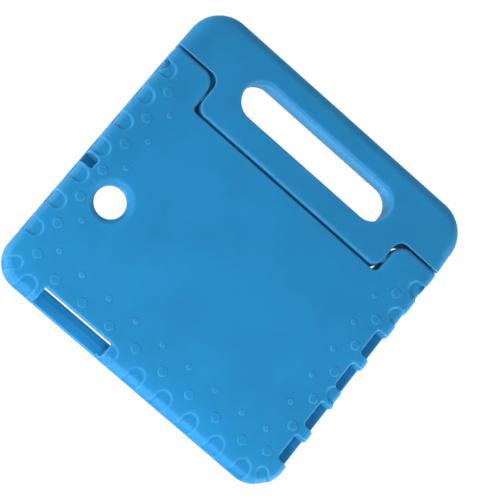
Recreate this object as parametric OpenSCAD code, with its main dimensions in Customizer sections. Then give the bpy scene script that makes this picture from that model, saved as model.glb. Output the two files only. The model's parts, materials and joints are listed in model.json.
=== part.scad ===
// Foam tablet case with a carrying handle that folds back as a stand.
// Origin: middle of the bottom edge that the case stands on.
// +X is right as seen from the back, +Z points to the handle,
// -Y is the back panel's side and +Y the screen's side.

/* [Tablet] */
// Width of the tablet, along its long side
tablet_w = 242.5; // [236:0.5:246]
// Height of the tablet, along its short side
tablet_h = 166.8; // [162:0.2:170]
// Thickness of the tablet
tablet_t = 7.5; // [6:0.1:9]
// Room left between the tablet and the foam, in all
tablet_play = 1.2; // [0.6:0.1:2]

/* [Case] */
// Thickness of the case, back to front
case_t = 25; // [22:0.5:28]
// Foam beside the tablet's short sides
side_wall = 10; // [9:0.5:12]
// Foam under the tablet
bottom_wall = 8; // [7.5:0.5:10]
// Foam above the tablet, up to the notch floor at the back
top_wall = 11; // [9:0.5:13]
// Foam behind the tablet
back_panel = 7.5; // [6:0.5:9]
// How far the front lip reaches over the tablet's edge
lip_overlap = 5.5; // [2:0.5:6]
// Radius of the two bottom corners
bottom_corner_r = 23; // [16:1:28]
// Rounding of the outer edges at the back
back_edge_r = 5; // [3:0.5:6]
// Rounding of the outer edges at the front
front_edge_r = 4; // [2:0.5:5]

/* [Handle] */
// Height of the grip above the ears' tops
grip_h = 50; // [44:1:56]
// Radius of the handle's two top corners
top_corner_r = 28; // [22:1:34]
// Rounding of the grip's outer edges
grip_edge_r = 9; // [6:0.5:11]
// Length of the hand hole
hand_hole_w = 144; // [120:1:150]
// Height of the hand hole
hand_hole_h = 31; // [28:0.5:33]
// Foam above the hand hole
hand_hole_top = 24; // [20:0.5:26]

/* [Hinge] */
// Distance from the case's middle to the inner side of each ear
ear_inner_x = 93; // [86:0.5:96]
// Height of the pivot above the notch floor at the back
pivot_above_floor = 13.5; // [13:0.5:15]
// Depth of the pivot in from the back face
pivot_depth = 7; // [6.5:0.5:8]
// Radius of each ear's round top, about the pivot
ear_top_r = 17; // [16.5:0.5:19]
// Rounding of the ear's inner top corner
ear_corner_r = 12; // [10:0.5:12]
// Rounding of the tongue's lower corners
tongue_corner_r = 8.5; // [7:0.5:10]
// Angle that the handle folds back through
fold_angle = 95; // [80:5:100]
// Gap between the handle and the case at the seam
seam_gap = 1.8; // [0.5:0.1:2]
// Diameter of the hinge pins
pin_d = 5; // [4:0.5:5]
// Radial running clearance of a pin in its ear bush
pin_play = 0.05; // [0.02:0.01:0.1]
// Wall of the plastic bushes and sockets
bush_wall = 1.5; // [1.25:0.25:1.5]

/* [Openings] */
// Diameter of the camera hole at the back face
camera_rim_d = 33; // [30:1:36]
// Diameter of the camera hole's throat
camera_throat_d = 25; // [24:1:28]
// Distance from the tablet's short side to the camera hole's centre
camera_inset = 27; // [22:1:30]
// Length of the cutout over the buttons
button_cut_w = 64; // [50:1:68]
// Length of each slot over the sockets and speakers
port_slot_l = 23.5; // [18:0.5:24]
// Side of the small hole over the microphone
mic_cut_l = 9.5; // [6:0.5:10]

/* [Grip pattern] */
// Spacing of the finger grooves along the edges
groove_pitch = 26; // [24:0.5:28]
// Width of a finger groove
groove_w = 12; // [10:0.5:13]
// Reach of a finger groove onto the back face
groove_reach = 12; // [10:0.5:14]
// Depth of the finger grooves
groove_depth = 1.2; // [0.8:0.1:2]
// Height of the grip dots over the back face
dot_height = 0.5; // [0.3:0.1:0.8]

/* [Hidden] */
$fn = 96;
EPS = 0.01;
FAR = 400;

case_w = tablet_w + tablet_play + 2 * side_wall;
pocket_w = tablet_w + tablet_play;
pocket_h = tablet_h + tablet_play;
pocket_t = tablet_t + 0.5;
pocket_corner_r = 9;
floor_z = bottom_wall + pocket_h + top_wall;
back_y = -case_t / 2;
front_y = case_t / 2;
pocket_y = back_y + back_panel;
lip_y = pocket_y + pocket_t;
window_corner_r = 7;

// Pivot, and the two surfaces of revolution that the seam follows
pivot_y = back_y + pivot_depth;
pivot_z = floor_z + pivot_above_floor;
tongue_r = norm([pivot_depth, pivot_above_floor]);
seam_z = pivot_z + sqrt(pow(ear_top_r, 2) - pow(pivot_depth, 2));

// Within hub_r of the pivot, the folding handle reaches past the back face into the
// case, so there the seam lies flat against the ears, and the corners that are hollow
// are cut deeper than the ones that turn in them. In front of relief_y nothing passes,
// and the hollow corners follow the round ones
hub_play = 0.4;
hub_r = pivot_depth / cos(fold_angle / 2) + hub_play;
notch_corner_r = tongue_r - hub_r;
saddle_corner_r = ear_top_r + seam_gap - hub_r;
relief_y = pivot_y + hub_r * sin(max(0, fold_angle - 90)) + hub_play;
top_z = seam_z + grip_h;
hand_hole_z = top_z - hand_hole_top - hand_hole_h / 2;

// Hinge hardware, measured along X from the case's middle
bush_r = pin_d / 2 + bush_wall;
friction_wall = 0.4;
sleeve_r = pin_d / 2 + friction_wall;
bush_bore_r = sleeve_r + pin_play;
cap_t = 2.5;
cap_r = bush_r + 1;
cap_plug_l = 4;
cap_inset = 1.5;
cap_x = case_w / 2 - cap_inset;
bush_out_x = cap_x - cap_t;
washer_t = 1;
washer_r = 5.2;
washer_play = 0.4;
washer_proud = seam_gap - 0.2;
bush_in_x = ear_inner_x + washer_t;
socket_l = 22;
socket_end_t = 2;
socket_out_x = ear_inner_x - seam_gap - 1.5;
socket_in_x = socket_out_x - socket_l;
pin_in_x = socket_in_x + socket_end_t;
pin_out_x = bush_out_x - cap_plug_l - 0.5;
sleeve_inset = 1;

// Openings
camera_x = -pocket_w / 2 + camera_inset;
camera_z = bottom_wall + pocket_h / 2 + 0.5;
camera_cone_t = 4;
button_cut_overrun = 5;
button_cut_x = -91.5;
slot_corner_r = 3;
slot_steps = [-51, -19, 19, 51];
slot_mid_z = 91;
edge_cut_depth = side_wall + 0.5;
mic_z = 106;
mic_corner_r = 2;

// Pattern of grooves and grip dots
groove_z = [for (i = [0 : 6]) 41 + i * groove_pitch];
right_grooves = [2, 5, 6];
groove_x = [for (i = [-4, -1, 0, 1, 2, 3, 4]) 1 + i * groove_pitch];
corner_groove_inset = 7;
corner_groove_w = 8.5;
dot_big_d = 7.5;
dot_small_d = 4.5;
row_2_side = 17;
row_3_side = 29;
row_2_bottom = 21;
row_3_bottom = 36.5;
row_2_corner = [20, 27];
row_3_corner = [31, 39];

foam_blue = [0.09, 0.52, 0.80];
plastic_blue = [0.05, 0.36, 0.62];
plastic_dark = [0.16, 0.17, 0.19];
steel = [0.72, 0.73, 0.75];

// ---------- helpers ----------

// A plate in the XZ plane, from y0 to y1, made from a 2D outline
module plate(y0, y1) {
    translate([0, y1, 0])
        rotate([90, 0, 0])
            linear_extrude(y1 - y0) children();
}

// A 2D rectangle from (x0, z0) to (x1, z1) with corner radius r
module round_rect(x0, z0, x1, z1, r) {
    translate([x0 + r, z0]) square([x1 - x0 - 2 * r, z1 - z0]);
    translate([x0, z0 + r]) square([x1 - x0, z1 - z0 - 2 * r]);
    for (x = [x0 + r, x1 - r], z = [z0 + r, z1 - r])
        translate([x, z]) circle(r);
}

// Section across a rolled edge: t runs outwards to r, the second axis is depth
module edge_section(r, back_r, front_r) {
    translate([0, back_y + back_r]) square([r, case_t - back_r - front_r]);
    translate([0, back_y]) square([r - max(back_r, front_r), case_t]);
    translate([0, back_y]) square([r - back_r, case_t / 2]);
    translate([r - back_r, back_y + back_r]) circle(back_r);
    translate([0, 0]) square([r - front_r, case_t / 2]);
    translate([r - front_r, front_y - front_r]) circle(front_r);
}

// A plate with two round corners and rolled edges at the back and the front. The line
// through the corners' centres is at Z = 0, the corners point up, and the plate goes
// down from there by straight
module rolled_plate(straight, corner_r, back_r, front_r) {
    half = case_w / 2 - corner_r;
    for (side = [0, 1])
        mirror([side, 0, 0])
            translate([half, 0, 0]) {
                rotate([90, 0, 0])
                    rotate_extrude(angle = 90) mirror([0, 1]) edge_section(corner_r, back_r, front_r);
                translate([0, 0, -straight])
                    linear_extrude(straight) edge_section(corner_r, back_r, front_r);
            }
    translate([-half, 0, 0])
        rotate([0, 90, 0])
            linear_extrude(2 * half) mirror([1, 0]) edge_section(corner_r, back_r, front_r);
    translate([-half, back_y, -straight])
        cube([2 * half, case_t, straight]);
}

// The half behind the pivot of a solid turned about the pivot's axis, from a profile
// of (x, radius)
module turned_about_pivot() {
    translate([0, pivot_y, pivot_z])
        rotate([180, 90, 0])
            rotate_extrude(angle = 180)
                rotate([0, 0, 90]) mirror([0, 1]) children();
}

// A straight rod, tube or hole along X, on the pivot's axis
module on_pivot(x0, x1, r) {
    translate([min(x0, x1), pivot_y, pivot_z])
        rotate([0, 90, 0]) cylinder(h = abs(x1 - x0), r = r);
}

module pivot_tube(x0, x1, outer_r, inner_r) {
    difference() {
        on_pivot(x0, x1, outer_r);
        on_pivot(min(x0, x1) - 1, max(x0, x1) + 1, inner_r);
    }
}

// ---------- seam surfaces ----------

// The room of the tongue, which fills the notch between the ears. Behind the pivot its
// floor is turned about the pivot, and in front of it the floor runs straight out
module tongue_room(gap, corner, front_corner) {
    half = ear_inner_x - gap;
    r = tongue_r - gap;
    turned_about_pivot() half_round_rect(half, r, corner);
    plate(pivot_y, relief_y)
        translate([0, pivot_z]) mirror([0, 1]) half_round_rect(half, r, corner);
    plate(relief_y, front_y + 1)
        translate([0, pivot_z]) mirror([0, 1]) half_round_rect(half, r, front_corner);
    translate([-half, back_y - 1, pivot_z])
        cube([2 * half, case_t + 2, FAR]);
}

// Half a rounded outline, from its middle line out to r
module half_round_rect(half, r, corner) {
    intersection() {
        round_rect(-half, -r, half, r, corner);
        translate([-half, 0]) square([2 * half, r]);
    }
}

// Both ear tops above the pivot: round behind it, and straight in front of it
module ear_tops(gap, corner, front_corner) {
    for (side = [0, 1])
        mirror([side, 0, 0]) {
            turned_about_pivot() ear_section(gap, corner);
            plate(pivot_y, relief_y) translate([0, pivot_z]) ear_section(gap, corner);
            plate(relief_y, front_y + 1)
                translate([0, pivot_z]) ear_section(gap, front_corner);
        }
}

// Section of an ear from the pivot up, round at its inner corner
module ear_section(gap, corner) {
    inner = ear_inner_x - gap;
    outer = case_w / 2 + 5;
    r = ear_top_r + gap;
    difference() {
        translate([inner, 0]) square([outer - inner, r]);
        difference() {
            translate([inner - 1, r - corner]) square([corner + 1, corner + 1]);
            translate([inner + corner, r - corner]) circle(corner);
        }
    }
}

// ---------- case body ----------

// The case's outside, up to the round tops of its ears
module case_blank() {
    difference() {
        translate([0, 0, bottom_corner_r]) mirror([0, 0, 1])
            rolled_plate(pivot_z + ear_top_r, bottom_corner_r, back_edge_r, front_edge_r);
        difference() {
            translate([-FAR / 2, -FAR / 2, pivot_z]) cube([FAR, FAR, FAR]);
            ear_tops(0, ear_corner_r, ear_corner_r);
        }
    }
}

module pocket() {
    plate(pocket_y, lip_y)
        round_rect(-pocket_w / 2, bottom_wall, pocket_w / 2, bottom_wall + pocket_h,
            pocket_corner_r);
}

module screen_window() {
    plate(lip_y - EPS, front_y + 1)
        round_rect(-pocket_w / 2 + lip_overlap, bottom_wall + lip_overlap,
            pocket_w / 2 - lip_overlap, bottom_wall + pocket_h - lip_overlap,
            window_corner_r);
}

module camera_hole() {
    translate([camera_x, back_y, camera_z]) rotate([-90, 0, 0]) {
        translate([0, 0, -1]) cylinder(h = back_panel + 2, d = camera_throat_d);
        translate([0, 0, -EPS])
            cylinder(h = camera_cone_t, d1 = camera_rim_d, d2 = camera_throat_d);
    }
}

// Cutouts run in from the back and out through the side wall; the lip stays
module button_cutout() {
    plate(back_y - 1, lip_y)
        translate([button_cut_x, -1])
            square([button_cut_w, bottom_wall + button_cut_overrun + 1]);
}

// A cutout in one of the short side walls, of length l about height z
module side_cutout(side, z, l, corner_r) {
    edge_x = side * case_w / 2;
    plate(back_y - 1, lip_y)
        round_rect(edge_x - edge_cut_depth, z - l / 2, edge_x + edge_cut_depth, z + l / 2,
            corner_r);
}

module port_slots() {
    for (step = slot_steps)
        side_cutout(1, slot_mid_z + step, port_slot_l, slot_corner_r);
}

module mic_cutout() {
    side_cutout(-1, mic_z, mic_cut_l, mic_corner_r);
}

// One finger groove of width w, on the back face and down the edge, at the origin:
// it comes in from -X and ends in a half circle
module finger_groove(w) {
    translate([0, back_y + groove_depth, 0]) rotate([90, 0, 0]) linear_extrude(5) {
        translate([groove_reach - w / 2, 0]) circle(d = w);
        translate([-5, -w / 2]) square([groove_reach - w / 2 + 5, w]);
    }
    translate([-5, back_y - 1, -w / 2])
        cube([5 + groove_depth, case_t - front_edge_r, w]);
}

module grooves() {
    for (z = groove_z)
        translate([-case_w / 2, 0, z]) finger_groove(groove_w);
    for (i = right_grooves)
        translate([case_w / 2, 0, groove_z[i]]) rotate([0, 180, 0])
            finger_groove(groove_w);
    for (x = groove_x)
        translate([x, 0, 0]) rotate([0, -90, 0]) finger_groove(groove_w);
    for (side = [-1, 1])
        translate([side * (case_w / 2 - corner_groove_inset), 0, corner_groove_inset])
            rotate([0, side < 0 ? -45 : -135, 0]) finger_groove(corner_groove_w);
}

module grip_dot(x, z, d) {
    translate([x, back_y + 1, z]) rotate([90, 0, 0]) cylinder(h = dot_height + 1, d = d);
}

// Two rows of raised dots inside the grooves, large ones and then small ones
module grip_dots() {
    half = case_w / 2;
    for (side = [-1, 1], z = [for (i = [0 : 5]) groove_z[i]]) {
        grip_dot(side * (half - row_2_side), z + groove_pitch / 2, dot_big_d);
        if (z > groove_z[0] && (side > 0 || abs(z - camera_z) > groove_pitch / 2))
            grip_dot(side * (half - row_3_side), z, dot_small_d);
    }
    for (i = [-4 : 3]) {
        x = groove_x[2] + i * groove_pitch;
        grip_dot(x + groove_pitch / 2, row_2_bottom, dot_big_d);
        if (i > -4)
            grip_dot(x, row_3_bottom, dot_small_d);
    }
    for (side = [-1, 1]) {
        grip_dot(side * (half - row_2_corner[0]), row_2_corner[1], dot_big_d);
        grip_dot(side * (half - row_3_corner[0]), row_3_corner[1], dot_small_d);
    }
}

module case_body() {
    color(foam_blue)
        difference() {
            union() {
                case_blank();
                grip_dots();
            }
            tongue_room(0, notch_corner_r, tongue_corner_r + seam_gap);
            pocket();
            screen_window();
            camera_hole();
            button_cutout();
            port_slots();
            mic_cutout();
            grooves();
            for (side = [-1, 1]) {
                on_pivot(side * (ear_inner_x - 1), side * FAR / 2, bush_r);
                on_pivot(side * bush_out_x, side * FAR / 2, cap_r);
                on_pivot(side * (ear_inner_x - 1), side * bush_in_x, washer_r + washer_play);
            }
        }
}

// ---------- handle ----------

module handle_blank() {
    intersection() {
        translate([0, 0, top_z - top_corner_r])
            rolled_plate(top_z - floor_z, top_corner_r, grip_edge_r, grip_edge_r);
        union() {
            tongue_room(seam_gap, tongue_corner_r, tongue_corner_r);
            translate([-FAR / 2, back_y - 1, pivot_z + 1])
                cube([FAR, case_t + 2, FAR]);
        }
    }
}

module hand_hole() {
    low = hand_hole_z - hand_hole_h / 2;
    plate(back_y - 1, front_y + 1)
        round_rect(-hand_hole_w / 2, low, hand_hole_w / 2, low + hand_hole_h,
            hand_hole_h / 2 - EPS);
}

module handle() {
    color(foam_blue)
        difference() {
            handle_blank();
            ear_tops(seam_gap, saddle_corner_r, ear_corner_r + seam_gap);
            hand_hole();
            for (side = [-1, 1])
                on_pivot(side * socket_in_x, side * (ear_inner_x + 1), bush_r);
        }
}

// ---------- hinge hardware, one set at each ear ----------

module ear_bush(side) {
    color(plastic_dark)
        pivot_tube(side * bush_in_x, side * bush_out_x, bush_r, bush_bore_r);
}

module hinge_pin(side) {
    color(steel)
        on_pivot(side * pin_in_x, side * pin_out_x, pin_d / 2);
}

// Spring sleeve that grips the pin and rubs in the bush
module friction_sleeve(side) {
    color(plastic_blue)
        pivot_tube(side * (bush_in_x + sleeve_inset), side * (pin_out_x - sleeve_inset),
            sleeve_r, pin_d / 2);
}

// Closed at its inner end, so that the pin stops there
module handle_socket(side) {
    color(plastic_dark)
        difference() {
            on_pivot(side * socket_in_x, side * socket_out_x, bush_r);
            on_pivot(side * pin_in_x, side * (socket_out_x + 1), pin_d / 2);
        }
}

// Sits in the ear and stands a little proud of it
module thrust_washer(side) {
    color(plastic_blue)
        pivot_tube(side * (ear_inner_x - washer_proud), side * bush_in_x,
            washer_r, pin_d / 2 + pin_play);
}

// A disc in the ear's outer side, with a plug that fits the bush
module hinge_cap(side) {
    color(plastic_blue)
        union() {
            on_pivot(side * bush_out_x, side * cap_x, cap_r);
            on_pivot(side * (bush_out_x - cap_plug_l), side * (bush_out_x + EPS), bush_bore_r);
        }
}

case_body();
handle();
ear_bush(-1);  // left_ear_bush
ear_bush(1);  // right_ear_bush
hinge_pin(-1);  // left_hinge_pin
hinge_pin(1);  // right_hinge_pin
friction_sleeve(-1);  // left_friction_sleeve
friction_sleeve(1);  // right_friction_sleeve
handle_socket(-1);  // left_handle_socket
handle_socket(1);  // right_handle_socket
thrust_washer(-1);  // left_thrust_washer
thrust_washer(1);  // right_thrust_washer
hinge_cap(-1);  // left_hinge_cap
hinge_cap(1);  // right_hinge_cap
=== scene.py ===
"""The looks of a foam tablet case with a fold-back handle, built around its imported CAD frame.

The two foam pieces are modelled as distance fields in millimetres, which gives every edge its
own rounding, and turned into meshes. The hinge pieces keep their CAD shapes.
"""

import json
import math

import bpy
import numpy as np
import openvdb
from mathutils import Matrix, Vector


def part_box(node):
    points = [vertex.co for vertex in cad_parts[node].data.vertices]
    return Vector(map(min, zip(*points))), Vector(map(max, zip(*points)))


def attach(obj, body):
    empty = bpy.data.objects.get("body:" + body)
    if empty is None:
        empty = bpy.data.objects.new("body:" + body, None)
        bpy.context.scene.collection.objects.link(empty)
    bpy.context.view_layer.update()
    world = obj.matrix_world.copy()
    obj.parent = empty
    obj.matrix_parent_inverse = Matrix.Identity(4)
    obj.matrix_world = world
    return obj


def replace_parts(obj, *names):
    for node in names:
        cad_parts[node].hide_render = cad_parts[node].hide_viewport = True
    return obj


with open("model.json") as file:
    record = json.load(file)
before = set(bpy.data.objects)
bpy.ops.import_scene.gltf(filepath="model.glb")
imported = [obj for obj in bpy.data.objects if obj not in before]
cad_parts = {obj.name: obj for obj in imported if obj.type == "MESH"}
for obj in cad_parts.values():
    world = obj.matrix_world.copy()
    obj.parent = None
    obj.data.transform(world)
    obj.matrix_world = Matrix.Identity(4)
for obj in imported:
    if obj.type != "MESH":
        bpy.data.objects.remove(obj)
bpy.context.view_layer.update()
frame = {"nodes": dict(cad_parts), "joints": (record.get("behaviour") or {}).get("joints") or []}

# ---------- sizes, in millimetres: x is right seen from the back, y is depth, z is up ----------

MM = 0.001


def box_mm(node):
    """Lowest and highest corner of a CAD node, in millimetres."""
    return [np.array(corner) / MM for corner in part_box(node)]


case_low, case_high = box_mm("case_body")
handle_low, handle_high = box_mm("handle")
washer_low, washer_high = box_mm("right_thrust_washer")
cap_low, cap_high = box_mm("right_hinge_cap")
bush_low, bush_high = box_mm("right_ear_bush")

HALF_W = case_high[0]
DOT_HEIGHT = 0.5
BACK_Y = case_low[1] + DOT_HEIGHT
FRONT_Y = case_high[1]
TOP_Z = handle_high[2]
PIVOT_Y, PIVOT_Z = np.array(frame["joints"][0]["pos_m"][1:]) / MM

# Pocket for the tablet, and the window that its screen shows through
SIDE_WALL = 10
BOTTOM_WALL = 8
BACK_PANEL = 7.5
POCKET_DEPTH = 8
POCKET_H = 168
LIP = 5.5
POCKET_Y = BACK_Y + BACK_PANEL
LIP_Y = POCKET_Y + POCKET_DEPTH
POCKET_X = HALF_W - SIDE_WALL
POCKET_TOP = BOTTOM_WALL + POCKET_H
POCKET_R = 9
WINDOW_R = 7

# Outside of the case: its back face is crowned, and falls away over CROWN_REACH from its edges
CORNER_R = 23
BACK_EDGE = 5
FRONT_EDGE = 4
SEAM_EDGE = 2.4
CROWN = 1.6
CROWN_REACH = 20

# Seam between the case and the handle, whose hollow corners are cut deeper than the round ones
EAR_X = 93
EAR_R = 17
EAR_CORNER = 12
PIVOT_DEPTH = PIVOT_Y - BACK_Y
PIVOT_ABOVE_FLOOR = 13.5
TONGUE_R = math.hypot(PIVOT_DEPTH, PIVOT_ABOVE_FLOOR)
TONGUE_CORNER = 8.5
SEAM_GAP = 1.8
HUB_PLAY = 0.4
FOLD = math.radians(frame["joints"][0]["range_deg"][1])
HUB_R = PIVOT_DEPTH / math.cos(FOLD / 2) + HUB_PLAY
RELIEF_Y = PIVOT_Y + HUB_R * math.sin(max(0, FOLD - math.pi / 2)) + HUB_PLAY
NOTCH_CORNER = TONGUE_R - HUB_R
SADDLE_CORNER = EAR_R + SEAM_GAP - HUB_R

# Hinge holes in the foam
BUSH_R = (bush_high[2] - bush_low[2]) / 2
CAP_R = (cap_high[2] - cap_low[2]) / 2
WASHER_PLAY = 0.4
CAP_T = 2.5
WASHER_HOLE_R = (washer_high[2] - washer_low[2]) / 2 + WASHER_PLAY
WASHER_FLOOR_X = washer_high[0]
CAP_FLOOR_X = cap_high[0] - CAP_T

# Handle, whose grip has rounder edges than its tongue
TOP_CORNER = 28
TONGUE_EDGE, GRIP_EDGE = 5, 11
EDGE_CHANGE_FROM, EDGE_CHANGE_OVER = 8, 30
HAND_HALF_L = 72
HAND_HALF_H = 15.5
GRIP_BAR = 24
HAND_Z = TOP_Z - GRIP_BAR - HAND_HALF_H

# Openings
CAMERA_X, CAMERA_Z = 27 - POCKET_X, 92.5
THROAT_R, RIM_R, CONE_T = 12.5, 16.5, 4
BUTTON_X0, BUTTON_X1 = -91.5, -27.5
BUTTON_OVERRUN = 5
BUTTON_TOP = BOTTOM_WALL + BUTTON_OVERRUN
SLOTS_MIDDLE_Z = 91
SLOT_Z = [SLOTS_MIDDLE_Z + step for step in (-51, -19, 19, 51)]
SLOT_HALF_L = 11.75
SLOT_DEPTH = SIDE_WALL + 0.5  # just past the pocket's wall
SLOT_CORNER = 3
MIC_Z = 106
MIC_HALF_L = 4.75

# Grooves and grip dots along the edges
PITCH = 26
LEFT_GROOVES = [41 + i * PITCH for i in range(7)]
RIGHT_GROOVES = [LEFT_GROOVES[i] for i in (2, 5, 6)]
BOTTOM_MIDDLE = 1
BOTTOM_GROOVES = [BOTTOM_MIDDLE + i * PITCH for i in (-4, -1, 0, 1, 2, 3, 4)]
GROOVE_HALF_W = 6
GROOVE_REACH = 12
GROOVE_DEPTH = 1.2
GROOVE_END_Y = 6
CORNER_GROOVE_INSET = 7
CORNER_GROOVE_HALF_W = 4.25
BIG_R, SMALL_R = 3.75, 2.25
ROW_2_SIDE, ROW_3_SIDE = 17, 29
ROW_2_BOTTOM, ROW_3_BOTTOM = 21, 36.5
ROW_2_CORNER, ROW_3_CORNER = (20, 27), (31, 39)

# Small roundings where one shape cuts or meets another
GROOVE_ROUND = 1.0
DOT_FILLET = 0.4
WINDOW_ROUND = 4
POCKET_ROUND = 0.8
CAMERA_ROUND = 1.2
CUTOUT_ROUND = 0.7
BORE_ROUND = 0.5
HANDLE_SEAM_ROUND = 0.8
HAND_HOLE_ROUND = 2.2

# Meshing: the grid's step, and how far faces may be merged
VOXEL = 0.5
ADAPTIVITY = 0.004


# ---------- distance fields: negative inside, and each is a function of x, y and z ----------

def meet(a, b, k=0.0):
    """Where a and b overlap; their common edge is rounded with radius k."""
    if k <= 0:
        return np.maximum(a, b)
    return np.minimum(-k, np.maximum(a, b)) + np.hypot(np.maximum(a + k, 0), np.maximum(b + k, 0))


def join(a, b, k=0.0):
    """a and b together, with a fillet of radius k in the corner between them."""
    return -meet(-a, -b, k)


def cut(a, b, k=0.0):
    """a without b, with an edge of radius k."""
    return meet(a, -b, k)


def nearest(t, centres):
    """Distance of t from the nearest of several centres."""
    return np.min([np.abs(t - c) for c in centres], axis=0)


def pivot_distance(y, z):
    return np.hypot(y - PIVOT_Y, z - PIVOT_Z)


def ear(x, y, z, gap, corner):
    """Both ear tops: turned about the pivot behind it, and straight in front of it."""
    r = np.hypot(np.minimum(y - PIVOT_Y, 0), np.maximum(z - PIVOT_Z, 0))
    return meet(EAR_X - gap - np.abs(x), r - EAR_R - gap, corner)


def tongue_room(x, y, z, gap, corner):
    """The notch between the ears, which the handle's tongue fills."""
    below = np.hypot(np.minimum(y - PIVOT_Y, 0), np.minimum(z - PIVOT_Z, 0))
    return meet(np.abs(x) - EAR_X + gap, below - TONGUE_R + gap, corner)


def relieved(snug, deep, y):
    """A hollow that is snug, and has deep corners behind the plane where the handle passes."""
    return join(snug, meet(deep, y - RELIEF_Y))


def over_seam(x, y, z):
    """Everything above the case's side of the seam."""
    notch = relieved(tongue_room(x, y, z, 0, TONGUE_CORNER + SEAM_GAP),
                     tongue_room(x, y, z, 0, NOTCH_CORNER), y)
    return join(notch, meet(PIVOT_Z - z, -ear(x, y, z, 0, EAR_CORNER)))


def handle_room(x, y, z):
    """Everything above the handle's side of the seam."""
    saddle = relieved(ear(x, y, z, SEAM_GAP, EAR_CORNER + SEAM_GAP),
                      ear(x, y, z, SEAM_GAP, SADDLE_CORNER), y)
    return join(tongue_room(x, y, z, SEAM_GAP, TONGUE_CORNER), meet(PIVOT_Z + 1 - z, -saddle))


def case_outside(x, y, z):
    """The case's outside: its back face falls away a little towards the outer edges."""
    outline = meet(np.abs(x) - HALF_W, -z, CORNER_R)
    fall = np.clip(1 + outline / CROWN_REACH, 0, 1)
    back = BACK_Y + CROWN * fall * fall - y
    return meet(meet(outline, back, BACK_EDGE), y - FRONT_Y, FRONT_EDGE)


def groove(inwards, across, y, outside, half_w=GROOVE_HALF_W):
    """A finger groove: inwards is the distance in from the edge, across runs along it."""
    past_end = np.maximum(inwards - (GROOVE_REACH - half_w), 0)
    footprint = np.hypot(past_end, across) - half_w
    footprint = meet(footprint, y - GROOVE_END_Y, 3)
    return meet(footprint, -(outside + GROOVE_DEPTH), 1.1)


def grooves(x, y, z, outside):
    found = groove(x + HALF_W, nearest(z, LEFT_GROOVES), y, outside)
    found = np.minimum(found, groove(HALF_W - x, nearest(z, RIGHT_GROOVES), y, outside))
    found = np.minimum(found, groove(z, nearest(x, BOTTOM_GROOVES), y, outside))
    corner = HALF_W - CORNER_GROOVE_INSET
    for side in (-1, 1):
        u, v = corner - side * x, z - CORNER_GROOVE_INSET
        found = np.minimum(found, groove((u + v) * math.sqrt(0.5), (u - v) * math.sqrt(0.5), y, outside,
                                         CORNER_GROOVE_HALF_W))
    return found


def grip_dot(across, along, radius):
    """Distance of a point on the back face from a dot's edge."""
    return np.hypot(across, along) - radius


def grip_dots(x, z):
    """Two rows inside the grooves: large dots between them, and small ones level with them."""
    between = [c + PITCH / 2 for c in LEFT_GROOVES[:6]]
    level = LEFT_GROOVES[1:6]
    beside_camera = [c for c in level if abs(c - CAMERA_Z) > PITCH / 2]
    bottom = [BOTTOM_MIDDLE + i * PITCH for i in range(-4, 4)]
    inwards = HALF_W - np.abs(x)
    return np.min(np.broadcast_arrays(
        grip_dot(inwards - ROW_2_SIDE, nearest(z, between), BIG_R),
        grip_dot(HALF_W - x - ROW_3_SIDE, nearest(z, level), SMALL_R),
        grip_dot(HALF_W + x - ROW_3_SIDE, nearest(z, beside_camera), SMALL_R),
        grip_dot(z - ROW_2_BOTTOM, nearest(x, [c + PITCH / 2 for c in bottom]), BIG_R),
        grip_dot(z - ROW_3_BOTTOM, nearest(x, bottom[1:]), SMALL_R),
        grip_dot(inwards - ROW_2_CORNER[0], z - ROW_2_CORNER[1], BIG_R),
        grip_dot(inwards - ROW_3_CORNER[0], z - ROW_3_CORNER[1], SMALL_R)), axis=0)


def pocket(x, y, z):
    middle = (BOTTOM_WALL + POCKET_TOP) / 2
    outline = meet(np.abs(x) - POCKET_X, np.abs(z - middle) - (POCKET_TOP - BOTTOM_WALL) / 2, POCKET_R)
    return meet(meet(outline, POCKET_Y - y, 1.5), y - LIP_Y, 0.8)


def window(x, y, z):
    middle = (BOTTOM_WALL + POCKET_TOP) / 2
    half_h = (POCKET_TOP - BOTTOM_WALL) / 2 - LIP
    outline = meet(np.abs(x) - POCKET_X + LIP, np.abs(z - middle) - half_h, WINDOW_R)
    return meet(outline, LIP_Y - 1 - y)


def camera_hole(x, y, z):
    r = np.hypot(x - CAMERA_X, z - CAMERA_Z)
    slope = (RIM_R - THROAT_R) / CONE_T
    cone = (r - THROAT_R - (BACK_Y + CONE_T - y) * slope) / math.hypot(1, slope)
    return meet(join(r - THROAT_R, meet(cone, y - BACK_Y - CONE_T - 2), 1.5), y - POCKET_Y - 2)


def button_cutout(x, y, z):
    middle, half = (BUTTON_X0 + BUTTON_X1) / 2, (BUTTON_X1 - BUTTON_X0) / 2
    return meet(meet(np.abs(x - middle) - half, z - BUTTON_TOP, 0.8), y - LIP_Y, 0.6)


def side_cutouts(x, y, z):
    slots = meet(HALF_W - SLOT_DEPTH - x, nearest(z, SLOT_Z) - SLOT_HALF_L, SLOT_CORNER)
    mic = meet(HALF_W - SLOT_DEPTH + x, np.abs(z - MIC_Z) - MIC_HALF_L, 2)
    return meet(np.minimum(slots, mic), y - LIP_Y, 0.6)


def hinge_holes(x, y, z):
    """Holes through the ears, wider for the washer inside and for the cap outside."""
    r = pivot_distance(y, z)
    past_ear = EAR_X - 1 - np.abs(x)
    bore = meet(r - BUSH_R, past_ear)
    washer = meet(meet(r - WASHER_HOLE_R, np.abs(x) - WASHER_FLOOR_X), past_ear)
    cap = meet(r - CAP_R, CAP_FLOOR_X - np.abs(x))
    return np.minimum(np.minimum(bore, washer), cap)


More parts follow.
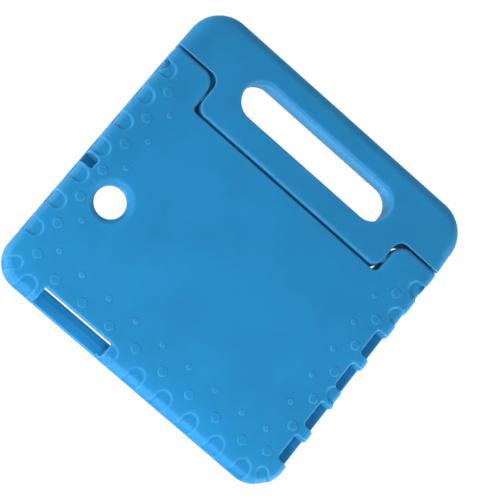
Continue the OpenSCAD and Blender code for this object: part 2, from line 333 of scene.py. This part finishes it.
def case_field(x, y, z):
    outside = case_outside(x, y, z)
    body = cut(outside, over_seam(x, y, z), SEAM_EDGE)
    body = cut(body, grooves(x, y, z, outside), GROOVE_ROUND)
    dots = meet(meet(grip_dots(x, z), outside - DOT_HEIGHT, DOT_HEIGHT), y - POCKET_Y + 2)
    body = join(body, dots, DOT_FILLET)
    body = cut(body, window(x, y, z), WINDOW_ROUND)
    body = cut(body, pocket(x, y, z), POCKET_ROUND)
    body = cut(body, camera_hole(x, y, z), CAMERA_ROUND)
    body = cut(body, join(button_cutout(x, y, z), side_cutouts(x, y, z)), CUTOUT_ROUND)
    return cut(body, hinge_holes(x, y, z), BORE_ROUND)


def grip_edge(z):
    """The rounding of the handle's outer edges, which grows smoothly above the pivot."""
    t = np.clip((z - PIVOT_Z - EDGE_CHANGE_FROM) / EDGE_CHANGE_OVER, 0, 1)
    return TONGUE_EDGE + (GRIP_EDGE - TONGUE_EDGE) * t * t * (3 - 2 * t)


def handle_outside(x, y, z):
    outline = meet(np.abs(x) - HALF_W, z - TOP_Z, TOP_CORNER)
    k = grip_edge(z)
    faces = np.abs(y - (BACK_Y + FRONT_Y) / 2) - (FRONT_Y - BACK_Y) / 2
    return np.minimum(-k, np.maximum(outline, faces)) + np.hypot(
        np.maximum(outline + k, 0), np.maximum(faces + k, 0))


def hand_hole(x, z):
    reach = HAND_HALF_L - HAND_HALF_H
    return np.hypot(np.maximum(np.abs(x) - reach, 0), z - HAND_Z) - HAND_HALF_H


def handle_field(x, y, z):
    body = meet(handle_outside(x, y, z), handle_room(x, y, z), HANDLE_SEAM_ROUND)
    return cut(body, hand_hole(x, z), HAND_HOLE_ROUND)


# ---------- from a field to a mesh ----------

def slope_of(field, points, h=0.04):
    """Unit gradient of a field at an array of points: the surface's normals."""
    columns = []
    for axis in range(3):
        step = np.zeros(3)
        step[axis] = h
        columns.append(field(*(points + step).T) - field(*(points - step).T))
    slope = np.stack(columns, axis=1)
    return slope / np.maximum(np.linalg.norm(slope, axis=1, keepdims=True), 1e-9)


def edge_wear_and_highlight(field, points, normals, reach=1.2):
    """From 0 on flat foam to 1 on a tight convex edge, which is painted lighter: partly rubbed wear,
    partly a painted highlight.
    """
    tangent = np.cross(normals, np.roll(normals, 1, axis=1) + 0.3)
    tangent /= np.maximum(np.linalg.norm(tangent, axis=1, keepdims=True), 1e-9)
    other = np.cross(normals, tangent)
    bend = np.zeros(len(points))
    for direction in (tangent, other):
        for sign in (-1, 1):
            bend = bend + field(*(points + sign * direction * reach).T)
    return np.clip(bend / (4 * reach) * 2.5, 0, 1)


def foam_piece(name, field, low, high, material):
    """A closed mesh of the field's surface, with normals taken from the field itself."""
    margin = 2 * VOXEL
    start = np.array(low) - margin
    x, y, z = (np.arange(a - margin, b + margin + VOXEL, VOXEL, dtype=np.float32)
               for a, b in zip(low, high))
    values = field(x[:, None, None], y[None, :, None], z[None, None, :]) / VOXEL
    grid = openvdb.FloatGrid(3.0)
    grid.copyFromArray(np.clip(values, -3, 3).astype(np.float32), tolerance=0)
    points, triangles, quads = grid.convertToPolygons(isovalue=0.0, adaptivity=ADAPTIVITY)
    points = start + points * VOXEL
    for _ in range(2):
        normals = slope_of(field, points)
        distance = np.clip(field(*points.T), -0.4 * VOXEL, 0.4 * VOXEL)
        points = points - normals * distance[:, None]
    normals = slope_of(field, points)
    faces = triangles.tolist() + quads.tolist()
    mesh = bpy.data.meshes.new(name)
    mesh.from_pydata((points * MM).tolist(), [], faces)
    mesh.validate()
    # Mask for the lighter convex edges: partly rubbed wear, partly a painted highlight
    wear_and_highlight = mesh.attributes.new("edge_wear_and_highlight", "FLOAT", "POINT")
    wear_and_highlight.data.foreach_set("value", edge_wear_and_highlight(field, points, normals).astype(np.float32))
    mesh.shade_smooth()
    mesh.normals_split_custom_set_from_vertices(normals.tolist())
    mesh.materials.append(material)
    piece = bpy.data.objects.new(name, mesh)
    bpy.context.scene.collection.objects.link(piece)
    print(name, len(mesh.vertices), "points", len(mesh.polygons), "faces")
    return piece


# ---------- materials ----------

class Material:
    """A node material, built up from its Principled shader."""

    def __init__(self, name):
        self.material = bpy.data.materials.new(name)
        self.material.use_nodes = True
        self.nodes = self.material.node_tree.nodes
        self.links = self.material.node_tree.links
        self.shader = self.nodes["Principled BSDF"]
        self.place = self.add("ShaderNodeTexCoord").outputs["Object"]

    def add(self, kind, **values):
        """A new node: inputs are set by name with _ for a space, and other values are properties."""
        node = self.nodes.new(kind)
        for name, value in values.items():
            socket = node.inputs.get(name.replace("_", " "))
            if socket is None:
                setattr(node, name, value)
            elif isinstance(value, bpy.types.NodeSocket):
                self.links.new(value, socket)
            else:
                socket.default_value = value
        return node

    def noise(self, scale, detail=3.0, roughness=0.5):
        """Noise of about one patch in 1/scale metres."""
        node = self.add("ShaderNodeTexNoise", Vector=self.place, Scale=scale, Detail=detail,
                        Roughness=roughness)
        return node.outputs["Fac"]

    def spread(self, value, low, high, out_low, out_high):
        node = self.add("ShaderNodeMapRange", Value=value, From_Min=low, From_Max=high,
                        To_Min=out_low, To_Max=out_high)
        return node.outputs["Result"]

    def mix(self, share, a, b, blend="MIX"):
        """Colour a and b mixed; each is a socket or a colour."""
        node = self.add("ShaderNodeMix", data_type="RGBA", blend_type=blend)
        for index, value in ((0, share), (6, a), (7, b)):
            if isinstance(value, bpy.types.NodeSocket):
                self.links.new(value, node.inputs[index])
            elif index == 0:
                node.inputs[index].default_value = value
            else:
                node.inputs[index].default_value = (*value, 1)
        return node.outputs[2]

    def bump(self, height, strength, distance, below=None):
        node = self.add("ShaderNodeBump", Height=height, Strength=strength, Distance=distance)
        if below is not None:
            self.links.new(below, node.inputs["Normal"])
        return node.outputs["Normal"]

    def set(self, **values):
        for name, value in values.items():
            socket = self.shader.inputs[name.replace("_", " ")]
            if isinstance(value, bpy.types.NodeSocket):
                self.links.new(value, socket)
            else:
                socket.default_value = value
        return self.material


def foam(name, colour, worn_and_lit_edge_colour):
    """Closed-cell foam with a moulded skin: cells, soft mottling, and convex edges painted lighter,
    partly as rubbed wear and partly as a painted highlight.

    Light spreads a few millimetres inside it, blue light furthest.
    """
    m = Material(name)
    mottled = m.mix(m.spread(m.noise(22, 4), 0.35, 0.65, 0, 1),
                    [c * 0.94 for c in colour], [min(1, c * 1.06) for c in colour])
    cells = m.add("ShaderNodeTexVoronoi", Vector=m.place, Scale=1500).outputs["Distance"]
    speckled = m.mix(m.spread(cells, 0.1, 0.6, 0.10, 0.0), mottled, [c * 0.6 for c in colour])
    # Convex edges are mixed towards a lighter colour: partly rubbed wear, partly a painted highlight
    wear_and_highlight = m.add("ShaderNodeAttribute", attribute_name="edge_wear_and_highlight").outputs["Fac"]
    patches = m.spread(m.noise(60, 5, 0.6), 0.36, 0.66, 0.25, 1)
    worn_and_lit = m.add("ShaderNodeMath", operation="MULTIPLY")
    m.links.new(wear_and_highlight, worn_and_lit.inputs[0])
    m.links.new(patches, worn_and_lit.inputs[1])
    coloured = m.mix(m.spread(worn_and_lit.outputs[0], 0, 1, 0, 0.45), speckled, worn_and_lit_edge_colour)
    rough = m.spread(m.noise(120, 5, 0.6), 0.3, 0.7, 0.50, 0.68)
    skin = m.bump(m.noise(900, 2), 0.20, 0.0003)
    pitted = m.bump(cells, 0.15, 0.0002, skin)
    return m.set(Base_Color=coloured, Roughness=rough, Normal=pitted, IOR=1.33,
                 Sheen_Weight=0.05, Sheen_Roughness=0.5,
                 Subsurface_Weight=0.45, Subsurface_Radius=(0.15, 0.6, 1.0), Subsurface_Scale=0.006)


def moulded_plastic(name, colour, smoothest=0.32, ior=1.5):
    """Satin plastic with a fine spark-eroded grain and handling marks."""
    m = Material(name)
    tint = m.mix(m.spread(m.noise(90, 4), 0.3, 0.7, 0, 1),
                 [c * 0.88 for c in colour], [min(1, c * 1.1) for c in colour])
    rough = m.spread(m.noise(400, 4, 0.6), 0.3, 0.7, smoothest, smoothest + 0.2)
    grain = m.bump(m.noise(2600, 2), 0.22, 0.0001)
    return m.set(Base_Color=tint, Roughness=rough, Normal=grain, IOR=ior)


def drawn_steel(name, colour):
    """Steel rod with fine lines along its length."""
    m = Material(name)
    stretch = m.add("ShaderNodeMapping", Vector=m.place, Scale=(30, 900, 900))
    lines = m.add("ShaderNodeTexNoise", Vector=stretch.outputs["Vector"], Scale=3.0, Detail=4.0)
    tint = m.mix(m.spread(lines.outputs["Fac"], 0.3, 0.7, 0, 1), [c * 0.8 for c in colour], colour)
    rough = m.spread(lines.outputs["Fac"], 0.3, 0.7, 0.22, 0.38)
    return m.set(Base_Color=tint, Roughness=rough, Metallic=1.0,
                 Normal=m.bump(lines.outputs["Fac"], 0.2, 0.00005))


def paint_node(node, material):
    """Gives a CAD node its material."""
    cad = frame["nodes"][node]
    cad.data.materials.clear()
    cad.data.materials.append(material)


FOAM_BLUE = (0.003, 0.200, 0.43)
# Lighter colour for convex edges: partly rubbed wear, partly a painted highlight
FOAM_WORN_AND_LIT_EDGE = (0.15, 0.45, 0.68)
# Painted shade: the handle's foam is a copy of the case's foam, made 3% darker
HANDLE_PAINTED_SHADE = 0.97
case_foam = foam("case_foam", FOAM_BLUE, FOAM_WORN_AND_LIT_EDGE)
# A 3% darker copy of the case's foam: painted shade
handle_foam = foam("handle_foam", [c * HANDLE_PAINTED_SHADE for c in FOAM_BLUE], FOAM_WORN_AND_LIT_EDGE)
hinge_plastic = moulded_plastic("hinge_plastic", (0.045, 0.05, 0.055))
cap_plastic = moulded_plastic("cap_plastic", (0.006, 0.13, 0.34), smoothest=0.55, ior=1.35)
pin_steel = drawn_steel("pin_steel", (0.60, 0.61, 0.63))

# ---------- pieces ----------

case = foam_piece("case_shell", case_field, case_low, case_high, case_foam)
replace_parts(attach(case, "case"), "case_body")

grip = foam_piece("grip_handle", handle_field, handle_low, handle_high, handle_foam)
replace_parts(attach(grip, "handle_assembly"), "handle")

for hand in ("left", "right"):
    for part in ("ear_bush", "friction_sleeve", "handle_socket"):
        paint_node(f"{hand}_{part}", hinge_plastic)
    for part in ("thrust_washer", "hinge_cap"):
        paint_node(f"{hand}_{part}", cap_plastic)
    paint_node(f"{hand}_hinge_pin", pin_steel)

# ---------- floor, light and camera ----------

FLOOR_SIZE = 12.0
FLOOR_DROP = 0.0003


def floor():
    """A plain pale floor with one side: from below, where the photo's camera is, it isn't there."""
    mesh = bpy.data.meshes.new("floor")
    half = FLOOR_SIZE / 2
    corners = [(-half, -half, -FLOOR_DROP), (half, -half, -FLOOR_DROP),
               (half, half, -FLOOR_DROP), (-half, half, -FLOOR_DROP)]
    mesh.from_pydata(corners, [], [(0, 1, 2, 3)])
    m = Material("floor_paint")
    shade = m.mix(m.spread(m.noise(6, 3), 0.3, 0.7, 0, 1), (0.80, 0.80, 0.81), (0.84, 0.84, 0.85))
    m.set(Base_Color=shade, Roughness=0.9)
    underside = m.add("ShaderNodeNewGeometry").outputs["Backfacing"]
    sides = m.add("ShaderNodeMixShader")
    m.links.new(underside, sides.inputs[0])
    m.links.new(m.shader.outputs["BSDF"], sides.inputs[1])
    m.links.new(m.add("ShaderNodeBsdfTransparent").outputs["BSDF"], sides.inputs[2])
    m.links.new(sides.outputs["Shader"], m.nodes["Material Output"].inputs["Surface"])
    mesh.materials.append(m.material)
    plane = bpy.data.objects.new("floor", mesh)
    bpy.context.scene.collection.objects.link(plane)


def lamp(data, place, aim, watts):
    """A light that shines through the floor, and lights only the object's pieces."""
    data.energy = watts
    light = bpy.data.objects.new(data.name, data)
    light.location = place
    light.rotation_euler = (Vector(aim) - Vector(place)).to_track_quat("-Z", "Y").to_euler()
    bpy.context.scene.collection.objects.link(light)
    light.light_linking.receiver_collection = object_pieces
    light.light_linking.blocker_collection = object_pieces


def soft_light(name, place, aim, size, watts):
    """A round soft light."""
    data = bpy.data.lights.new(name, "AREA")
    data.shape = "DISK"
    data.size = size
    lamp(data, place, aim, watts)


def beam(name, place, aim, width, watts):
    """A narrow beam; width is its whole angle in degrees."""
    data = bpy.data.lights.new(name, "SPOT")
    data.shadow_soft_size = 0.15
    data.spot_size = math.radians(width)
    data.spot_blend = 0.6
    lamp(data, place, aim, watts)


def white_room():
    """White surroundings with a dimmer ceiling."""
    world = bpy.data.worlds.new("white_room")
    world.use_nodes = True
    bpy.context.scene.world = world
    nodes, links = world.node_tree.nodes, world.node_tree.links
    background = nodes["Background"]
    height = nodes.new("ShaderNodeSeparateXYZ")
    links.new(nodes.new("ShaderNodeTexCoord").outputs["Generated"], height.inputs["Vector"])
    dimmed = nodes.new("ShaderNodeMapRange")
    links.new(height.outputs["Z"], dimmed.inputs["Value"])
    for name, value in (("From Min", 0.42), ("From Max", 0.85), ("To Min", 1.03), ("To Max", 0.40)):
        dimmed.inputs[name].default_value = value
    background.inputs["Color"].default_value = (1, 1, 1, 1)
    links.new(dimmed.outputs["Result"], background.inputs["Strength"])


def photo_camera():
    """The camera: far behind the case, to the left of and below its middle, and rolled."""
    roll, tilt, turn = (math.radians(a) for a in (-39.12, -14.72, 8.16))
    away, target_z = 1.640, 0.125
    aside = Vector((-0.0142, -0.0033, 0))
    lens_to_frame = 4.38
    spin = (Matrix.Rotation(roll, 3, "Z") @ Matrix.Rotation(tilt, 3, "X")
            @ Matrix.Rotation(turn, 3, "Y")).transposed()
    stand = Matrix(((1, 0, 0), (0, 0, -1), (0, 1, 0)))
    axes = stand @ spin
    data = bpy.data.cameras.new("camera")
    data.sensor_width = 36
    data.lens = data.sensor_width * lens_to_frame
    data.clip_start, data.clip_end = 0.01, 50
    camera = bpy.data.objects.new("camera", data)
    place = axes @ (Vector((0, 0, away)) - aside) + Vector((0, 0, target_z))
    camera.matrix_world = Matrix.Translation(place) @ axes.to_4x4()
    bpy.context.scene.collection.objects.link(camera)
    bpy.context.scene.camera = camera


object_pieces = bpy.data.collections.new("object_pieces")
for lit in (case, grip, *frame["nodes"].values()):
    object_pieces.objects.link(lit)

floor()
white_room()
middle = (0, 0, 0.12)
hand_hole_middle = (0, 0, HAND_Z * MM)
soft_light("light_left", (-1.0, -0.15, -0.1), middle, 0.5, 8)
soft_light("light_below", (0.06, -0.35, -0.45), middle, 0.35, 4.4)
soft_light("light_right", (1.1, 0.05, -0.1), middle, 0.6, 11)
beam("light_hand_hole", (-0.2, 0.65, -0.75), hand_hole_middle, 10, 130)
photo_camera()
bpy.context.scene.view_settings.view_transform = "Standard"
